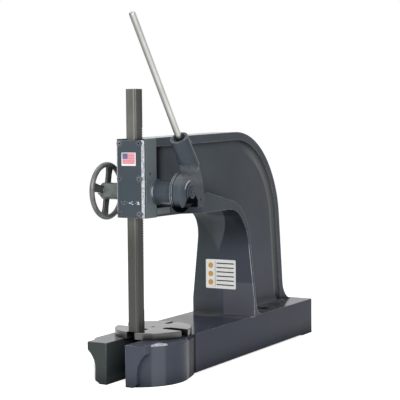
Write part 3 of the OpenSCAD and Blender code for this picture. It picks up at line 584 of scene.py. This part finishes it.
def paint_nodes():
    """Gives every CAD node its material: its own where it has one, else that of its slot."""
    # Tone of the painted shade on the bar's front left side.
    bar_side_shade = (0.17, 0.17, 0.163)
    by_slot = {
        "frame_paint": enamel("frame_paint", extra=frame_marks),
        "ram_steel": ram_steel(),
        "screw_steel": plated_steel("screw_steel", (0.45, 0.46, 0.47), 0.3),
        "dark_steel": plated_steel("dark_steel", (0.12, 0.12, 0.125), 0.38),
        "bronze": plated_steel("bronze", (0.42, 0.29, 0.12), 0.35),
        "bar_steel": plated_steel("bar_steel", (0.54, 0.54, 0.52), 0.3, 90, 0.72, (1, 0.5, 0.35), bar_side_shade),
        "wheel_iron": wheel_iron(),
        "plate_iron": plate_iron(),
    }
    greased = plated_steel("greased_steel", (0.012, 0.012, 0.013), 0.55)
    end_paint = enamel("end_paint", rounding=0.009, edge_brightening=0.0, depth=0.002)
    own = {
        "ram_cap": enamel("cap_paint", rounding=0.0025, extra=cap_marks),
        "lever_head": enamel("lever_paint", rounding=0.005, edge_brightening=1.6, extra=lever_marks),
        "cheek_plate": enamel("cheek_paint", rounding=0.002, extra=lever_marks),
        "cap_screws": enamel("screw_paint", rounding=0.002, edge_brightening=0.8),
        "end_washer": end_paint,
        "end_bolt": end_paint,
        "ratchet_wheel": greased,
        "pawl_pin": greased,
        "ram_lock_screw": greased,
    }
    for item in frame["record"]["subparts"]:
        mesh = frame["nodes"][item["node"]].data
        mesh.materials.clear()
        mesh.materials.append(own.get(item["node"], by_slot[item["material_slot"]]))
        for poly in mesh.polygons:
            poly.material_index = 0


# ---------------------------------------------------------------- camera, floor and light

def camera():
    """Long-lens view from the right front, a little above the table."""
    azimuth, pitch, roll = map(math.radians, (29.81, 3.34, -0.47))
    right = Vector((math.cos(azimuth), math.sin(azimuth), 0))
    level = Vector((-math.sin(azimuth), math.cos(azimuth), 0))
    ahead = math.cos(pitch) * level - math.sin(pitch) * Vector((0, 0, 1))
    up = right.cross(ahead)
    turned_right = math.cos(roll) * right + math.sin(roll) * up
    turned_up = -math.sin(roll) * right + math.cos(roll) * up
    data = bpy.data.cameras.new("camera")
    data.lens = 106.9
    data.sensor_width = 36
    data.shift_x = -0.00225
    data.shift_y = 0.0015
    data.clip_end = 60
    cam = bpy.data.objects.new("camera", data)
    SCENE.collection.objects.link(cam)
    m = Matrix((turned_right, turned_up, -ahead)).transposed().to_4x4()
    m.translation = Vector((2.02733, -3.12399, 0.78064))
    cam.matrix_world = m
    SCENE.camera = cam


def area_light(name, place, target, size, power):
    """Soft box at place, turned towards target."""
    data = bpy.data.lights.new(name, "AREA")
    data.shape = "RECTANGLE"
    data.size, data.size_y = size
    data.energy = power
    lamp = bpy.data.objects.new(name, data)
    SCENE.collection.objects.link(lamp)
    lamp.location = place
    lamp.rotation_euler = (Vector(target) - Vector(place)).to_track_quat("-Z", "Y").to_euler()


def background_ray(tree):
    """1 for what the camera sees directly, in gloss or through glass, 0 for what lights the part."""
    path = tree.nodes.new("ShaderNodeLightPath")
    seen = path.outputs["Is Camera Ray"]
    for kind in ("Is Glossy Ray", "Is Transmission Ray"):
        either = tree.nodes.new("ShaderNodeMath")
        either.operation = "MAXIMUM"
        tree.links.new(seen, either.inputs[0])
        tree.links.new(path.outputs[kind], either.inputs[1])
        seen = either.outputs["Value"]
    return seen


def white_world():
    """World that shows white and lights the part more softly."""
    world = bpy.data.worlds.new("studio")
    SCENE.world = world
    world.use_nodes = True
    tree = world.node_tree
    back = tree.nodes["Background"]
    back.inputs["Color"].default_value = (1, 1, 1, 1)
    level = tree.nodes.new("ShaderNodeMix")
    level.data_type = "FLOAT"
    level.inputs["A"].default_value = 0.42
    level.inputs["B"].default_value = 1.0
    tree.links.new(background_ray(tree), level.inputs["Factor"])
    tree.links.new(level.outputs["Result"], back.inputs["Strength"])


def pale_floor():
    """Wide plain floor under the part."""
    bpy.ops.mesh.primitive_plane_add(size=40, location=(0, 0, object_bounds()[0].z))
    floor = bpy.context.object
    floor.name = "floor"
    s = Shader("floor")
    s.feed("Base Color", s.grey(s.noise(3, 2), 0.3, 0.7, 0.88, 0.9))
    s.feed("Emission Strength", s.times(background_ray(s.tree), 0.62))
    s.set(Emission_Color=(1, 1, 1, 1), Roughness=0.9, Specular_IOR_Level=0.1)
    floor.data.materials.append(s.mat)
    floor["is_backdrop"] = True


def studio():
    """White cove: white world, pale floor and three soft boxes."""
    SCENE.view_settings.view_transform = "Standard"
    white_world()
    pale_floor()
    area_light("key", (-0.2, -3.3, 2.3), (0, 0.2, 0.5), (1.8, 1.8), 58)
    area_light("side", (2.1, -2.5, 1.9), (0, 0.3, 0.5), (1.2, 1.6), 84)
    area_light("top", (-0.6, 0.2, 3.4), (0, 0.4, 0), (2.0, 2.0), 30)


# ---------------------------------------------------------------- decals

FILM = 0.0001  # thinnest printed layer, in metres


def outline(width, height, radius, steps=4):
    """Corner points of a rounded rectangle around its own centre."""
    points = []
    for i, (sx, sy) in enumerate(((1, -1), (1, 1), (-1, 1), (-1, -1))):
        cx, cy = sx * (width / 2 - radius), sy * (height / 2 - radius)
        for k in range(steps + 1):
            turn = math.radians(-90 + 90 * (i + k / steps))
            points.append((cx + radius * math.cos(turn), cy + radius * math.sin(turn)))
    return points


def printed(name, patches, face_y, material, lift, thick):
    """Thin rounded patches facing the front; each patch is (x, z, width, height, radius).

    lift is the space between the face and the patches; it and thick are counted in films.
    """
    rear_y = face_y - lift * FILM
    front_y = rear_y - thick * FILM
    mesh = bpy.data.meshes.new(name)
    bm = bmesh.new()
    for x, z, width, height, radius in patches:
        loop = outline(width, height, radius)
        front = [bm.verts.new((x + a, front_y, z + b)) for a, b in loop]
        rear = [bm.verts.new((x + a, rear_y, z + b)) for a, b in loop]
        bm.faces.new(front)
        bm.faces.new(rear[::-1])
        for i in range(len(loop)):
            j = (i + 1) % len(loop)
            bm.faces.new((front[j], front[i], rear[i], rear[j]))
    bmesh.ops.recalc_face_normals(bm, faces=bm.faces[:])
    bm.to_mesh(mesh)
    bm.free()
    obj = bpy.data.objects.new(name, mesh)
    SCENE.collection.objects.link(obj)
    mesh.materials.append(material)
    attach(obj, "frame")


def flag_sticker():
    """Striped sticker on the front cap: white border, red stripes and a blue corner."""
    pad_rise = 0.001
    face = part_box("ram_cap")[0].y + pad_rise
    x, z, width, height = 0.0035, 0.696, 0.052, 0.041
    side, below, above, bands = 0.003, 0.006, 0.002, 13
    white = flat_print("sticker_white", (0.7, 0.68, 0.67))
    rose = flat_print("sticker_rose", (0.6, 0.34, 0.36))
    red = flat_print("sticker_red", (0.5, 0.14, 0.18))
    blue = flat_print("sticker_blue", (0.11, 0.11, 0.21))
    printed("flag_ground", [(x, z, width, height, 0.002)], face, white, lift=1, thick=3)
    left, wide = x - width / 2 + side, width - 2 * side
    base, tall = z - height / 2 + below, height - below - above
    band = tall / bands
    field = [(x, base + tall / 2, wide, tall, 0.0006)]
    printed("flag_field", field, face, rose, lift=4, thick=1)
    stripes = [(x, base + (i + 0.5) * band, wide, band, band / 5) for i in range(0, bands, 2)]
    printed("flag_stripes", stripes, face, red, lift=5, thick=1)
    length, deep = 0.42 * wide, 7 * band
    corner = [(left + length / 2, base + tall - deep / 2, length, deep, 0.0004)]
    printed("flag_corner", corner, face, blue, lift=6, thick=1)


def column_plate():
    """Blank chart plate on the column front: pale ground, ruled rows and three colour dots."""
    x, z, width, height = -0.0097, 0.2712, 0.121, 0.104
    pale = flat_print("chart_pale", (0.74, 0.74, 0.72))
    dark = flat_print("chart_dark", (0.03, 0.03, 0.035))
    amber = flat_print("chart_amber", (0.55, 0.3, 0.07))
    printed("chart_ground", [(x, z, width, height, 0.004)], COLUMN_FACE, pale, lift=1, thick=6)
    row_step, dot_step = 0.0154, 0.03
    rows = [(x + 0.018, z + (2.5 - i) * row_step, 0.07, 0.0042, 0.0012) for i in range(6)]
    rows.append((x - 0.0225, z, 0.0012, height - 0.012, 0.0004))
    printed("chart_rows", rows, COLUMN_FACE, dark, lift=7, thick=2)
    dots = [(x - 0.0405, z + (1 - i) * dot_step, 0.02, 0.02, 0.0095) for i in range(3)]
    printed("chart_dots", dots, COLUMN_FACE, amber, lift=7, thick=2)


def main():
    camera()
    paint_nodes()
    studio()
    flag_sticker()
    column_plate()


main()
